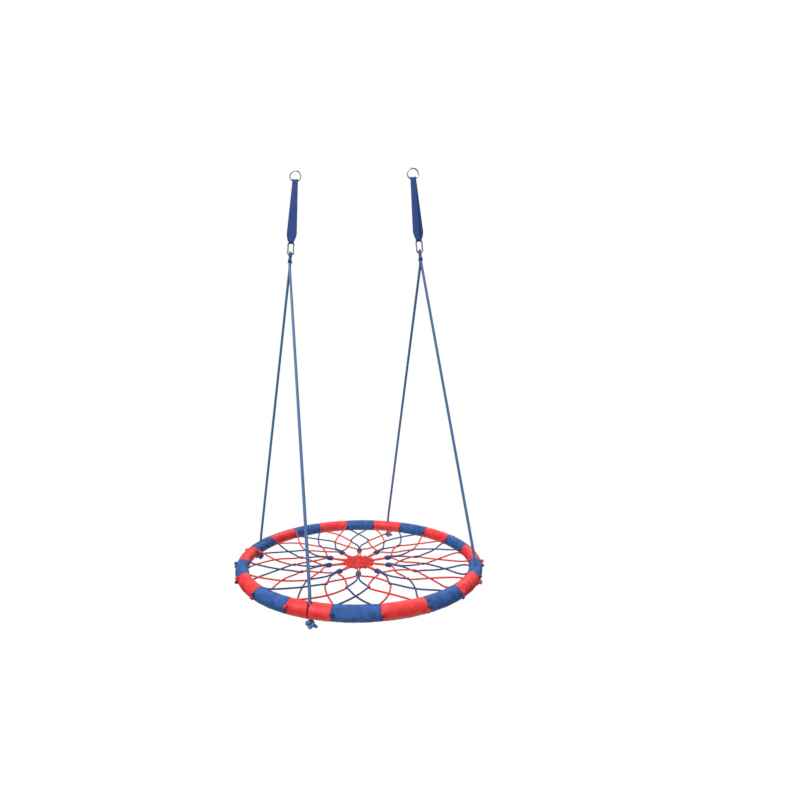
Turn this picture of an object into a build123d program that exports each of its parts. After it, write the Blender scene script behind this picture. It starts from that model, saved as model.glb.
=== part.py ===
"""Saucer nest swing: a padded steel hoop with a knotted rope net, hung on two ropes,
two snap hooks and two webbing loops from a pair of steel rings.

The frame stands on the lowest rope tail: Z is up, X runs from the left ring to the
right ring, and the hoop lies level. Lengths are millimetres, angles are degrees.
"""

from build123d import *
from math import asin, cos, degrees, radians, sin, sqrt, tan
import os

# Hoop and padding
hoop_radius = 475.0
hoop_height = 58.0
tube_diameter = 28.0
tube_wall = 2.0
pad_diameter = 50.0
cover_thickness = 1.0
pad_count = 20
seam_gap = 9.0
layer_clearance = 0.2
slit_width = 4.0

# Net: radii from the middle of the swing to each row of knots and crossings
net_rope_diameter = 6.0
net_sag = 19.0
hub_ring_radius = 22.0
hub_ring_thickness = 8.0
hub_edge_radius = 66.0
hitch_inner_radius = 116.0
hitch_outer_radius = 144.0
hitch_wall = 3.0
inner_cross_radius = 178.0
fork_radius = 193.0
link_radius = 261.0
link_bite = 0.2
link_slack = 0.6
outer_cross_radius = 348.0
rim_knot_radius = 7.5
rim_knot_offset = 3.0
rim_upper_angle = 18.0
rim_lower_angle = -10.0
rope_gap = 0.6
net_bend_reach = 12.0
grip_bend_reach = 4.8

# Hanging ropes
hang_rope_diameter = 11.0
hole_clearance = 0.4
tail_knot_radius = 16.0
seat_turn = 27.0
bend_rise = 9.0
bend_reach = 20.0
binding_height = 12.0
binding_wall = 2.0
binding_drop = 22.0
binding_gap = 0.4

# Snap hooks
hook_wire = 7.0
hook_length = 64.0
hook_bow_radius = 12.0
gate_diameter = 6.2
gate_gap = 0.8
tongue_thickness = 2.6
tongue_width = 5.3
gate_pin_diameter = 2.5
gate_flat = 0.2
running_clearance = 0.05
bow_clearance = 0.8

# Webbing loops and rings
ring_rise = 1623.0
ring_half_spacing = 250.0
ring_radius = 23.0
ring_wire = 6.0
hanger_tilt = 4.3
strap_drop = 282.0
strap_thickness = 3.0
strap_width = 24.0
strap_end_width = 17.0
strap_taper = 70.0
strap_clearance = 2.2

# Worked out from the sizes above
tube_radius = tube_diameter / 2
pad_radius = pad_diameter / 2
net_rope_radius = net_rope_diameter / 2
hang_rope_radius = hang_rope_diameter / 2
wire_radius = hook_wire / 2
gate_radius = gate_diameter / 2
pad_angle = 360 / pad_count
sector_angle = 2 * pad_angle
sector_count = pad_count // 2
seam_angle = degrees(seam_gap / hoop_radius)
rim_radius = hoop_radius - pad_radius
strand_offset = net_rope_radius + rope_gap / 2
link_reach = net_rope_diameter - link_bite
link_lift = strand_offset + link_slack
over_tube = tube_radius + net_rope_radius + rope_gap
rope_hole_radius = hang_rope_radius + hole_clearance
first_pad = -90.0
pad_centres = [first_pad + index * pad_angle for index in range(pad_count)]
anchor_angles = [seat_turn - 45 + quarter * 90 for quarter in range(4)]

os.makedirs("parts", exist_ok=True)


def save(piece, name):
    """Label a finished piece and write it as its own file."""
    piece.part.label = name
    export_step(piece.part, f"parts/{name}.step")


def polar(radius, angle, height, offset=0.0):
    """A point at a radius and compass angle round the middle, moved sideways by offset."""
    outward = Vector(cos(radians(angle)), sin(radians(angle)), 0)
    sideways = Vector(-outward.Y, outward.X, 0)
    return outward * radius + sideways * offset + Vector(0, 0, height)


def add_rope(name, stops, radius):
    """Sweep a round rope along straight runs joined by tangent arcs.

    Each stop is a point and how far from it the arc may start. An arc also takes at
    most 0.45 of the shorter run beside it, or 0.9 of a run that ends the rope.
    """
    points = [point for point, reach in stops]
    runs = [(end - start).length for start, end in zip(points, points[1:])]
    runs[0] *= 2
    runs[-1] *= 2
    radii = []
    for index in range(1, len(points) - 1):
        before = points[index] - points[index - 1]
        after = points[index + 1] - points[index]
        tangent = min(stops[index][1], 0.45 * runs[index - 1], 0.45 * runs[index])
        radii.append(tangent / tan(radians(before.get_angle(after) / 2)))
    print(name, "bend radii", [round(bend, 1) for bend in radii])
    with BuildLine() as path:
        FilletPolyline(*points, radius=radii)
    with BuildSketch(Plane(path.line @ 0, z_dir=path.line % 0)) as section:
        Circle(radius)
    sweep(section.sketch, path=path.line)


# Hoop: a closed round tube, drilled upright where the hanging ropes go through
with BuildPart() as hoop:
    with BuildSketch(Plane.XZ):
        with Locations((hoop_radius, hoop_height)):
            Circle(tube_radius)
            Circle(tube_radius - tube_wall, mode=Mode.SUBTRACT)
    revolve(axis=Axis.Z)
    with Locations(*[polar(hoop_radius, angle, hoop_height) for angle in anchor_angles]):
        Cylinder(rope_hole_radius, 2 * tube_diameter, mode=Mode.SUBTRACT)
save(hoop, "hoop_tube")


# Padding: a foam sleeve and a cloth cover on each stretch of tube between two seams
def add_pad_layer(centre, inner, outer):
    """One round sleeve on the tube between two seams."""
    arc = pad_angle - seam_angle
    start = radians(centre - arc / 2)
    across = Plane(
        (0, 0, 0),
        x_dir=(cos(start), sin(start), 0),
        z_dir=(sin(start), -cos(start), 0),
    )
    with BuildSketch(across) as section:
        with Locations((hoop_radius, hoop_height)):
            Circle(outer)
            Circle(inner, mode=Mode.SUBTRACT)
    revolve(section.sketch, axis=Axis.Z, revolution_arc=arc)


def cut_rope_slit(anchor):
    """The hole for a hanging rope, and the slit that lets it in from outside."""
    outward = (cos(radians(anchor)), sin(radians(anchor)), 0)
    below = Plane(polar(hoop_radius, anchor, hoop_height - pad_diameter), x_dir=outward)
    with BuildSketch(below) as opening:
        Circle(rope_hole_radius + layer_clearance)
        with Locations((pad_radius, 0)):
            Rectangle(2 * pad_radius, slit_width)
    extrude(opening.sketch, amount=2 * pad_diameter, mode=Mode.SUBTRACT)


def is_anchored(centre):
    """Whether a hanging rope goes through the pad centred on this angle."""
    turns = [(centre - anchor + 180) % 360 - 180 for anchor in anchor_angles]
    return any(abs(turn) < pad_angle / 2 for turn in turns)


for index, centre in enumerate(pad_centres):
    with BuildPart() as cover:
        add_pad_layer(centre, pad_radius - cover_thickness, pad_radius)
        if is_anchored(centre):
            cut_rope_slit(centre)
    colour = "red" if index % 2 else "blue"
    save(cover, f"pad_cover_{index + 1:02d}_{colour}")

with BuildPart() as foam:
    for centre in pad_centres:
        foam_outer = pad_radius - cover_thickness - layer_clearance
        add_pad_layer(centre, tube_radius + layer_clearance, foam_outer)
    for anchor in anchor_angles:
        cut_rope_slit(anchor)
save(foam, "pad_foam")


# Net: ten blue and ten red ropes, hooked through each other and knotted outside the rim
def dish(radius):
    """Height of the net, which sags to the middle like a shallow dish."""
    return hoop_height - net_sag * (1 - (radius / rim_radius) ** 2)


grip_height = dish((hitch_inner_radius + hitch_outer_radius) / 2)


def rim_stops(angle, over):
    """A rope's way from its knot outside the rim, over or under the tube, to the net."""
    rise = 1 if over else -1
    knot_angle = radians(rim_upper_angle if over else rim_lower_angle)
    knot_reach = pad_radius + rim_knot_radius + rope_gap
    knot_radius = hoop_radius + knot_reach * cos(knot_angle)
    knot_height = hoop_height + knot_reach * sin(knot_angle)
    tube_side = hoop_height + rise * over_tube
    inside = rim_radius - 2 * net_rope_diameter
    points = [
        polar(knot_radius, angle, knot_height, rise * rim_knot_offset),
        polar(hoop_radius + tube_radius, angle, tube_side),
        polar(hoop_radius - tube_radius, angle, tube_side),
        polar(inside, angle, hoop_height + rise * strand_offset),
    ]
    return [(point, net_bend_reach) for point in points]


def link_stops(angle, toward, lift):
    """A rope's bend where it hooks through its neighbour."""
    height = dish(link_radius)
    half_gap = 1.5 * link_reach
    points = [
        polar(link_radius + half_gap, angle, height + lift),
        polar(link_radius, angle, height, toward * link_reach),
        polar(link_radius - half_gap, angle, height - lift),
    ]
    return [(point, net_bend_reach) for point in points]


def cross_stop(radius, angle, side):
    """Where a rope crosses its own other half, one strand above the other."""
    return (polar(radius, angle, dish(radius) + side * strand_offset), net_bend_reach)


def add_rim_knot(end, following):
    """A stopper knot on the outer end of a net rope, in line with the rope."""
    with Locations(Plane(end[0], z_dir=following[0] - end[0])):
        Sphere(rim_knot_radius)


def blue_half(axis, side, over):
    """Rim knot, crossing, link and stem, to the top of the hitch."""
    stem_height = grip_height + net_rope_diameter + rope_gap
    stem = [
        polar(fork_radius, axis, dish(fork_radius), side * strand_offset),
        polar(hitch_outer_radius + 2 * net_rope_diameter, axis, stem_height, side * strand_offset),
        polar(hitch_inner_radius + hitch_wall, axis, stem_height, side * strand_offset),
    ]
    return [
        *rim_stops(axis - side * pad_angle / 2, over),
        cross_stop(outer_cross_radius, axis, side),
        *link_stops(axis + side * pad_angle / 2, side, link_lift),
        *[(point, net_bend_reach) for point in stem],
    ]


def add_hitch(axis):
    """The blue wrap that grips two red strands side by side."""
    outward = Vector(cos(radians(axis)), sin(radians(axis)), 0)
    start = polar(hitch_inner_radius, axis, grip_height)
    across = Plane(start, x_dir=(outward.Y, -outward.X, 0), z_dir=outward)
    bore = 2 * strand_offset
    with BuildSketch(across) as wrap:
        SlotCenterToCenter(2 * strand_offset, bore + 2 * hitch_wall)
        SlotCenterToCenter(2 * strand_offset, bore, mode=Mode.SUBTRACT)
    extrude(wrap.sketch, amount=hitch_outer_radius - hitch_inner_radius)


def red_half(axis, side, over):
    """Rim knot, crossings and link, through a hitch, to the inside of the hub ring."""
    hitch = axis + side * pad_angle
    ring_pass = side * (hub_ring_thickness / 2 + strand_offset)
    bight_radius = hub_ring_radius - hub_ring_thickness / 2 - strand_offset
    grip = -side * strand_offset
    hub = dish(0)
    return [
        *rim_stops(axis + side * pad_angle / 2, over),
        cross_stop(outer_cross_radius, axis, side),
        *link_stops(axis - side * pad_angle / 2, -side, -link_lift),
        cross_stop(inner_cross_radius, axis, -side),
        (polar(hitch_outer_radius + net_rope_diameter, hitch, grip_height, grip), grip_bend_reach),
        (polar(hitch_inner_radius - net_rope_diameter, hitch, grip_height, grip), grip_bend_reach),
        (polar(hub_edge_radius, hitch, dish(hub_edge_radius), grip), net_bend_reach),
        (polar(2 * hub_ring_radius, axis, hub + ring_pass, 2 * side * strand_offset), net_bend_reach),
        (polar(bight_radius, axis, hub + ring_pass, side * rope_gap), net_bend_reach),
    ]


for sector in range(sector_count):
    blue_axis = first_pad + sector * sector_angle
    blue_name = f"net_blue_{sector + 1:02d}"
    with BuildPart() as blue_rope:
        add_hitch(blue_axis)
        for stops in (blue_half(blue_axis, 1, True), blue_half(blue_axis, -1, False)):
            add_rope(blue_name, stops, net_rope_radius)
            add_rim_knot(*stops[:2])
    save(blue_rope, blue_name)

    red_axis = blue_axis + pad_angle
    red_name = f"net_red_{sector + 1:02d}"
    with BuildPart() as red_rope:
        stops = red_half(red_axis, -1, True) + red_half(red_axis, 1, False)[::-1]
        add_rope(red_name, stops, net_rope_radius)
        add_rim_knot(*stops[:2])
        add_rim_knot(*stops[:-3:-1])
    save(red_rope, red_name)

with BuildPart(Plane.XY.offset(dish(0))) as hub_ring:
    Torus(hub_ring_radius, hub_ring_thickness / 2)
save(hub_ring, "net_hub_ring")


# Hangers: everything above the ropes lies along a line that leans outward from its ring.
# A point is given outward, up that line and square to both, from the ring's middle.
ring_height = hoop_height + ring_rise
top_wire = -strap_drop
bottom_wire = top_wire - hook_length + hook_wire
top_bow = top_wire - hook_bow_radius
bottom_bow = bottom_wire + hook_bow_radius
lean = radians(hanger_tilt)


def hanger_axes(side):
    """The outward, up and square directions of one hanger."""
    outward = Vector(side * cos(lean), 0, sin(lean))
    up = Vector(-side * sin(lean), 0, cos(lean))
    return outward, up, Vector(0, -side, 0)


def hanger_point(side, out, up, square):
    """A point of one hanger in the swing's frame."""
    outward, upward, across = hanger_axes(side)
    middle = Vector(side * ring_half_spacing, 0, ring_height)
    return middle + outward * out + upward * up + across * square


def hanger_face(side, square=0.0):
    """The plane of a ring and its snap hook."""
    outward, up, across = hanger_axes(side)
    return Plane(hanger_point(side, 0, 0, square), x_dir=outward, z_dir=across)


def add_bight(side, centre_up, wire_up, half_width):
    """Where the webbing turns over a bent wire, curved as the wire is."""
    outward, up, across = hanger_axes(side)
    spread = asin(half_width / abs(wire_up))
    turned_up = up * cos(spread) - outward * sin(spread)
    centre = hanger_point(side, 0, centre_up, 0)
    section = Plane(centre, x_dir=across, z_dir=across.cross(turned_up))
    inner = ring_wire / 2 + strap_clearance
    outer = inner + strap_thickness
    kept = Align.MIN if wire_up < 0 else Align.MAX
    with BuildSketch(section) as half_ring:
        with Locations((0, wire_up)):
            Circle(outer)
            Circle(inner, mode=Mode.SUBTRACT)
            Rectangle(2 * outer, outer, align=(Align.CENTER, kept), mode=Mode.INTERSECT)
    turning = Axis(centre, across * -1)
    revolve(half_ring.sketch, axis=turning, revolution_arc=degrees(2 * spread))


def add_strap_legs(side):
    """The two flat legs of the webbing, narrowed toward the snap hook."""
    half = strap_width / 2
    end_half = strap_end_width / 2
    top = -sqrt(ring_radius**2 - half**2)
    knee = top_wire + strap_taper
    bottom = top_bow + sqrt(hook_bow_radius**2 - end_half**2)
    inner = ring_wire / 2 + strap_clearance
    for square in (inner, -inner - strap_thickness):
        with BuildSketch(hanger_face(side, square)) as leg:
            with BuildLine():
                Polyline((-half, top), (-half, knee), (-end_half, bottom))
                ThreePointArc((-end_half, bottom), (0, top_wire), (end_half, bottom))
                Polyline((end_half, bottom), (half, knee), (half, top))
                ThreePointArc((half, top), (0, -ring_radius), (-half, top))
            make_face()
        extrude(leg.sketch, amount=strap_thickness)


# The gate closes the inner side of the hook between a stub below and a nose above
stub_top = bottom_bow + tongue_thickness
nose_bottom = top_bow - tongue_thickness
pin_up = stub_top + gate_radius + rope_gap
gate_top = nose_bottom - gate_gap
tongue_half = tongue_width / 2
nose_tongue_end = nose_bottom - gate_diameter / 2
slot_width = tongue_thickness + rope_gap


def add_hook_wire(side):
    """The bent wire, from the stub round the bottom, spine and top to the nose."""
    bow = hook_bow_radius
    with BuildLine(hanger_face(side)) as path:
        Line((-bow, stub_top), (-bow, bottom_bow))
        ThreePointArc((-bow, bottom_bow), (0, bottom_wire), (bow, bottom_bow))
        Line((bow, bottom_bow), (bow, top_bow))
        ThreePointArc((bow, top_bow), (0, top_wire), (-bow, top_bow))
        Line((-bow, top_bow), (-bow, nose_bottom))
    with BuildSketch(Plane(path.line @ 0, z_dir=path.line % 0)) as section:
        Circle(wire_radius)
    sweep(section.sketch, path=path.line)


def add_tongues(side):
    """The flat tongues on the stub and the nose that the gate's forks close over."""
    with BuildSketch(hanger_face(side, -tongue_thickness / 2)) as tongues:
        with Locations((-hook_bow_radius, pin_up)):
            Circle(tongue_half)
        with Locations((-hook_bow_radius, (pin_up + bottom_bow) / 2)):
            Rectangle(2 * tongue_half, pin_up - bottom_bow)
        with Locations((-hook_bow_radius, (nose_tongue_end + top_bow) / 2)):
            Rectangle(2 * tongue_half, top_bow - nose_tongue_end)
    extrude(tongues.sketch, amount=tongue_thickness)


def cut_pin_hole(side, radius):
    """The hole for the gate pin."""
    with BuildSketch(hanger_face(side, -hook_wire)) as hole:
        with Locations((-hook_bow_radius, pin_up)):
            Circle(radius)
    extrude(hole.sketch, amount=2 * hook_wire, mode=Mode.SUBTRACT)


def add_gate(side):
    """A round bar, flattened a little at its sides, with a rounded foot."""
    outward, up, across = hanger_axes(side)
    half_flat = gate_radius - gate_flat
    with BuildSketch(hanger_face(side, -gate_radius)) as outline:
        with Locations((-hook_bow_radius, pin_up)):
            Circle(half_flat)
            Rectangle(2 * half_flat, gate_top - pin_up, align=(Align.CENTER, Align.MIN))
    extrude(outline.sketch, amount=gate_diameter)
    foot = hanger_point(side, -hook_bow_radius, pin_up - gate_diameter, 0)
    with BuildSketch(Plane(foot, x_dir=outward, z_dir=up)) as bar:
        Circle(gate_radius)
    extrude(bar.sketch, amount=gate_top - pin_up + gate_diameter, mode=Mode.INTERSECT)


def cut_gate_slots(side):
    """The fork slots over the stub's tongue and the nose's tongue."""
    foot_slot_end = pin_up + tongue_half + rope_gap
    tip_slot_end = nose_tongue_end - rope_gap
    with BuildSketch(hanger_face(side, -slot_width / 2)) as slots:
        with Locations((-hook_bow_radius, foot_slot_end)):
            Rectangle(2 * hook_wire, 2 * hook_wire, align=(Align.CENTER, Align.MAX))
        with Locations((-hook_bow_radius, tip_slot_end)):
            Rectangle(2 * hook_wire, 2 * hook_wire, align=(Align.CENTER, Align.MIN))
    extrude(slots.sketch, amount=slot_width, mode=Mode.SUBTRACT)


def rope_stops(side):
    """One hanging rope, from a tail under the hoop over the hook and down to the other."""
    first = seat_turn - 45 if side > 0 else seat_turn + 135
    bight = wire_radius + bow_clearance + hang_rope_radius
    together = hang_rope_radius + binding_gap
    part_up = bottom_wire - binding_drop - binding_height - hang_rope_radius
    squeeze_up = bottom_wire - binding_drop + hang_rope_radius
    halves = []
    for square, anchor in ((1, first), (-1, first + 90)):
        points = [
            polar(hoop_radius, anchor, 0),
            polar(hoop_radius, anchor, hoop_height + pad_radius + bend_rise),
            hanger_point(side, 0, part_up, square * together),
            hanger_point(side, 0, squeeze_up, square * together),
            hanger_point(side, 0, bottom_wire - wire_radius, square * bight),
            hanger_point(side, 0, bottom_wire + bight, square * bight),
        ]
        halves.append([(point, bend_reach) for point in points])
    return halves[0] + halves[1][::-1]


for side, hand in ((-1, "left"), (1, "right")):
    with BuildPart(hanger_face(side)) as ring:
        Torus(ring_radius, ring_wire / 2)
    save(ring, f"ring_{hand}")

    with BuildPart() as strap:
        add_strap_legs(side)
        add_bight(side, 0, -ring_radius, strap_width / 2)
        add_bight(side, top_bow, hook_bow_radius, strap_end_width / 2)
    save(strap, f"strap_{hand}")

    with BuildPart() as hook:
        add_hook_wire(side)
        add_tongues(side)
        cut_pin_hole(side, gate_pin_diameter / 2)
    save(hook, f"hook_body_{hand}")

    with BuildPart() as gate:
        add_gate(side)
        cut_gate_slots(side)
        cut_pin_hole(side, gate_pin_diameter / 2 + running_clearance)
    save(gate, f"hook_gate_{hand}")

    with BuildPart() as pin:
        with BuildSketch(hanger_face(side, -gate_radius)):
            with Locations((-hook_bow_radius, pin_up)):
                Circle(gate_pin_diameter / 2)
        extrude(amount=gate_diameter)
    save(pin, f"hook_pin_{hand}")

    stops = rope_stops(side)
    with BuildPart() as rope:
        add_rope(f"rope_{hand}", stops, hang_rope_radius)
        for tail in (stops[0][0], stops[-1][0]):
            knot_up = hoop_height - pad_radius - tail_knot_radius - rope_gap
            with Locations(tail + Vector(0, 0, knot_up)):
                Sphere(tail_knot_radius)
    save(rope, f"rope_{hand}")

    with BuildPart() as binding:
        outward, up, across = hanger_axes(side)
        base = hanger_point(side, 0, bottom_wire - binding_drop - binding_height, 0)
        spacing = 2 * (hang_rope_radius + binding_gap)
        bore = 2 * (hang_rope_radius + binding_gap)
        with BuildSketch(Plane(base, x_dir=across, z_dir=up)):
            SlotCenterToCenter(spacing, bore + 2 * binding_wall)
            SlotCenterToCenter(spacing, bore, mode=Mode.SUBTRACT)
        extrude(amount=binding_height)
    save(binding, f"rope_binding_{hand}")
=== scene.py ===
"""Looks of the saucer nest swing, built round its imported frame. Metres, Z up."""
from math import cos, pi, radians, sin

import bmesh
import bpy
import numpy as np
from mathutils import Matrix, Vector


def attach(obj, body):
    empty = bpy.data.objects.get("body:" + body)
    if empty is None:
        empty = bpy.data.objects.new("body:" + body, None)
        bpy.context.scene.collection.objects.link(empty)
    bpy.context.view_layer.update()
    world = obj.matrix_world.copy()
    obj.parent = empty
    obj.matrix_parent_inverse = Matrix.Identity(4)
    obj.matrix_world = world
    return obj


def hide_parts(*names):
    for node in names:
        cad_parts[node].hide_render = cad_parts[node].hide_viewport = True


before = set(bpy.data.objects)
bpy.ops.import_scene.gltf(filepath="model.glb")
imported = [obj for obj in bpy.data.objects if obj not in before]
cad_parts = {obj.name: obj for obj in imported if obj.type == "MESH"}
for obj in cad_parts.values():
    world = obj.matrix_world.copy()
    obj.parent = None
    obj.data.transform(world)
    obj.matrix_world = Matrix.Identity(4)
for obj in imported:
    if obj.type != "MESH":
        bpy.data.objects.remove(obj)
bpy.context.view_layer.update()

scene = bpy.context.scene
scene.view_settings.view_transform = "Standard"
random = np.random.default_rng(11)

# Sizes that the CAD source has too
HOOP_RADIUS = 0.475
HOOP_HEIGHT = 0.058
TUBE_RADIUS = 0.014
PAD_RADIUS = 0.025
PAD_COUNT = 20
PAD_ANGLE = 18
FIRST_PAD = -90
NET_RADIUS = 0.003
NET_SAG = 0.019
HUB_RING_RADIUS = 0.022
HUB_RING_THICKNESS = 0.008
HUB_EDGE_RADIUS = 0.066
HITCH_INNER = 0.116
HITCH_OUTER = 0.144
INNER_CROSS = 0.178
FORK = 0.193
LINK = 0.261
LINK_LIFT = 0.0039
OUTER_CROSS = 0.348
RIM_KNOT_RADIUS = 0.0075
RIM_KNOT_OFFSET = 0.003
ROPE_GAP = 0.0006
HANG_RADIUS = 0.0055
SEAT_TURN = 27
BEND_DROP = 0.020
TAIL_KNOT_RADIUS = 0.016
BINDING_HEIGHT = 0.012
BINDING_DROP = 0.022
BINDING_GAP = 0.0004
WIRE_RADIUS = 0.0035
HOOK_LENGTH = 0.064
HOOK_BOW_RADIUS = 0.012
BOW_CLEARANCE = 0.0008
RING_HEIGHT = 1.681
RING_HALF_SPACING = 0.250
RING_RADIUS = 0.023
RING_WIRE_RADIUS = 0.003
HANGER_TILT = 4.3
STRAP_DROP = 0.282
STRAP_THICKNESS = 0.003
STRAP_CLEARANCE = 0.0022

STRAND_OFFSET = NET_RADIUS + ROPE_GAP / 2
OVER_TUBE = TUBE_RADIUS + NET_RADIUS + ROPE_GAP
RIM_RADIUS = HOOP_RADIUS - PAD_RADIUS
BOTTOM_WIRE = -STRAP_DROP - HOOK_LENGTH + 2 * WIRE_RADIUS
TOP_BOW = -STRAP_DROP - HOOK_BOW_RADIUS

# The camera stands where the photograph was taken from
CAMERA_PLACE = Vector((0.0348, -1.7805, 0.7058))
CAMERA_AHEAD = Vector((-0.01396, 0.99986, 0.00942))
CAMERA_ROLL = -0.73
CAMERA_LENS = 18.92
CAMERA_SHIFT = 0.051


def add_camera():
    """The camera, rolled a little about its own line of sight."""
    data = bpy.data.cameras.new("camera")
    data.sensor_width = 36
    data.lens = CAMERA_LENS
    data.shift_x = CAMERA_SHIFT
    ahead = CAMERA_AHEAD.normalized()
    level = ahead.cross((0, 0, 1)).normalized()
    upright = level.cross(ahead)
    turn = radians(CAMERA_ROLL)
    right = level * cos(turn) + upright * sin(turn)
    up = upright * cos(turn) - level * sin(turn)
    camera = bpy.data.objects.new("camera", data)
    facing = Matrix((right, up, -ahead)).transposed().to_4x4()
    camera.matrix_world = Matrix.Translation(CAMERA_PLACE) @ facing
    scene.collection.objects.link(camera)
    scene.camera = camera


# Places round the seat and on the hangers
def polar(radius, angle, height, offset=0.0):
    """A point at a radius and compass angle round the middle, moved sideways by offset."""
    turn = radians(angle)
    outward = Vector((cos(turn), sin(turn), 0))
    sideways = Vector((-sin(turn), cos(turn), 0))
    return outward * radius + sideways * offset + Vector((0, 0, height))


def dish(radius):
    """Height of the net, which sags to the middle like a shallow dish."""
    return HOOP_HEIGHT - NET_SAG * (1 - (radius / RIM_RADIUS) ** 2)


def hanger_axes(side):
    """The outward, up and square directions of one hanger."""
    lean = radians(HANGER_TILT)
    outward = Vector((side * cos(lean), 0, sin(lean)))
    up = Vector((-side * sin(lean), 0, cos(lean)))
    return outward, up, Vector((0, -side, 0))


def hanger_point(side, out, up, square):
    """A point of one hanger, measured from the middle of its ring."""
    outward, upward, across = hanger_axes(side)
    middle = Vector((side * RING_HALF_SPACING, 0, RING_HEIGHT))
    return middle + outward * out + upward * up + across * square


# Lines and tubes
def distances(line):
    """How far along a line each of its points is."""
    runs = np.linalg.norm(np.diff(line, axis=0), axis=1)
    return np.concatenate([[0], np.cumsum(runs)])


def spaced(line, step):
    """The same line with its points evenly spaced, about a step apart."""
    along = distances(line)
    at = np.linspace(0, along[-1], max(3, int(along[-1] / step) + 1))
    return np.stack([np.interp(at, along, line[:, k]) for k in range(3)], axis=1)


SPLINE_RESOLUTION = 24


def spline_line(points, step):
    """Points along the NURBS spline that has these control points."""
    data = bpy.data.curves.new("route", "CURVE")
    data.dimensions = "3D"
    data.resolution_u = SPLINE_RESOLUTION
    spline = data.splines.new("NURBS")
    spline.points.add(len(points) - 1)
    for control, place in zip(spline.points, points):
        control.co = (*place, 1)
    spline.order_u = 3
    spline.use_endpoint_u = True
    spline.resolution_u = SPLINE_RESOLUTION
    route = bpy.data.objects.new("route", data)
    mesh = bpy.data.meshes.new_from_object(route)
    line = np.array([vertex.co for vertex in mesh.vertices], float)
    bpy.data.meshes.remove(mesh)
    bpy.data.curves.remove(data)
    return spaced(line, step)


def carried_frames(line, closed=False):
    """The two directions square to a line at each of its points, without twist."""
    if closed:
        ahead = np.roll(line, -1, axis=0) - np.roll(line, 1, axis=0)
    else:
        ahead = np.gradient(line, axis=0)
    ahead /= np.linalg.norm(ahead, axis=1)[:, None]
    start = np.cross(ahead[0], [0.31, 0.52, 0.79])
    first = np.zeros_like(line)
    current = start / np.linalg.norm(start)
    for index, direction in enumerate(ahead):
        current = current - direction * (current @ direction)
        current = current / np.linalg.norm(current)
        first[index] = current
    second = np.cross(ahead, first)
    if closed:
        end = first[-1] - ahead[0] * (first[-1] @ ahead[0])
        twist = np.arctan2(end @ second[0], end @ first[0])
        back = -twist * np.linspace(0, 1, len(line))[:, None]
        turned = first * np.cos(back) + second * np.sin(back)
        second = second * np.cos(back) - first * np.sin(back)
        first = turned
    return first, second


def rings_round(line, closed, reach, around):
    """Rings of points round a line, each point at its own reach from it."""
    first, second = carried_frames(line, closed)
    return (
        line[:, None, :]
        + first[:, None, :] * (reach * np.cos(around))[..., None]
        + second[:, None, :] * (reach * np.sin(around))[..., None]
    )


class Shell:
    """Gathers closed surfaces, and makes one piece of them."""

    def __init__(self):
        self.points, self.faces, self.uvs, self.slots = [], [], [], []
        self.tones = []
        self.count = 0

    def add(self, points, faces, uvs, slots=0, tones=None):
        """One surface: its points, its faces, and a UV pair for each corner of each face."""
        self.points.append(points)
        self.faces.append(np.asarray(faces) + self.count)
        self.uvs.append(np.asarray(uvs).reshape(-1, 2))
        self.slots.append(np.broadcast_to(slots, len(faces)))
        self.tones.append(np.zeros(len(points)) if tones is None else tones)
        self.count += len(points)

    def add_rings(self, rings, around, along, closed=False, slots=0, tones=None):
        """A surface through rings of points. An open one gets a fan at each end."""
        count, sides = rings.shape[:2]
        last = count if closed else count - 1
        i = np.repeat(np.arange(last), sides)
        j = np.tile(np.arange(sides), last)
        after, beside = (i + 1) % count, (j + 1) % sides
        quads = np.stack(
            [i * sides + j, i * sides + beside, after * sides + beside, after * sides + j],
            axis=1,
        )
        steps = np.append(along, 2 * along[-1] - along[-2])
        turns = np.append(around, around[0] + 2 * pi)
        uvs = np.stack(
            [
                np.stack([steps[i], turns[j]], axis=1),
                np.stack([steps[i], turns[j + 1]], axis=1),
                np.stack([steps[i + 1], turns[j + 1]], axis=1),
                np.stack([steps[i + 1], turns[j]], axis=1),
            ],
            axis=1,
        )
        self.add(rings.reshape(-1, 3), quads, uvs, slots, tones)
        if not closed:
            for ring, middle, flip, step in (
                (rings[0], rings[0].mean(0), True, along[0]),
                (rings[-1], rings[-1].mean(0), False, along[-1]),
            ):
                self.add_fan(ring, middle, flip, around, step)

    def add_fan(self, ring, middle, flip, around, step):
        """Closes the end of a tube with triangles, sharing no point with it."""
        sides = len(ring)
        j = np.arange(sides)
        beside = (j + 1) % sides
        hub = np.full(sides, sides)
        order = [beside, j, hub] if flip else [j, beside, hub]
        faces = np.stack(order, axis=1)
        uvs = np.stack([np.full(3 * sides, step), np.repeat(around, 3)], axis=1)
        self.add(np.vstack([ring, middle]), faces, uvs)

    def make(self, name, *materials):
        """The piece, with its materials, in the scene."""
        faces = [face for group in self.faces for face in group.tolist()]
        mesh = bpy.data.meshes.new(name)
        mesh.from_pydata(np.vstack(self.points).tolist(), [], faces)
        uv_layer = mesh.uv_layers.new(name="UVMap")
        uv_layer.data.foreach_set("uv", np.vstack(self.uvs).astype(np.float32).ravel())
        tone = mesh.attributes.new("tone", "FLOAT", "POINT")
        tone.data.foreach_set("value", np.concatenate(self.tones).astype(np.float32))
        for material in materials:
            mesh.materials.append(material)
        mesh.polygons.foreach_set("material_index", np.concatenate(self.slots).astype(np.int32))
        mesh.polygons.foreach_set("use_smooth", np.ones(len(faces), bool))
        mesh.validate()
        weld(mesh)
        piece = bpy.data.objects.new(name, mesh)
        scene.collection.objects.link(piece)
        return piece


SAME_PLACE = 1e-7


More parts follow.
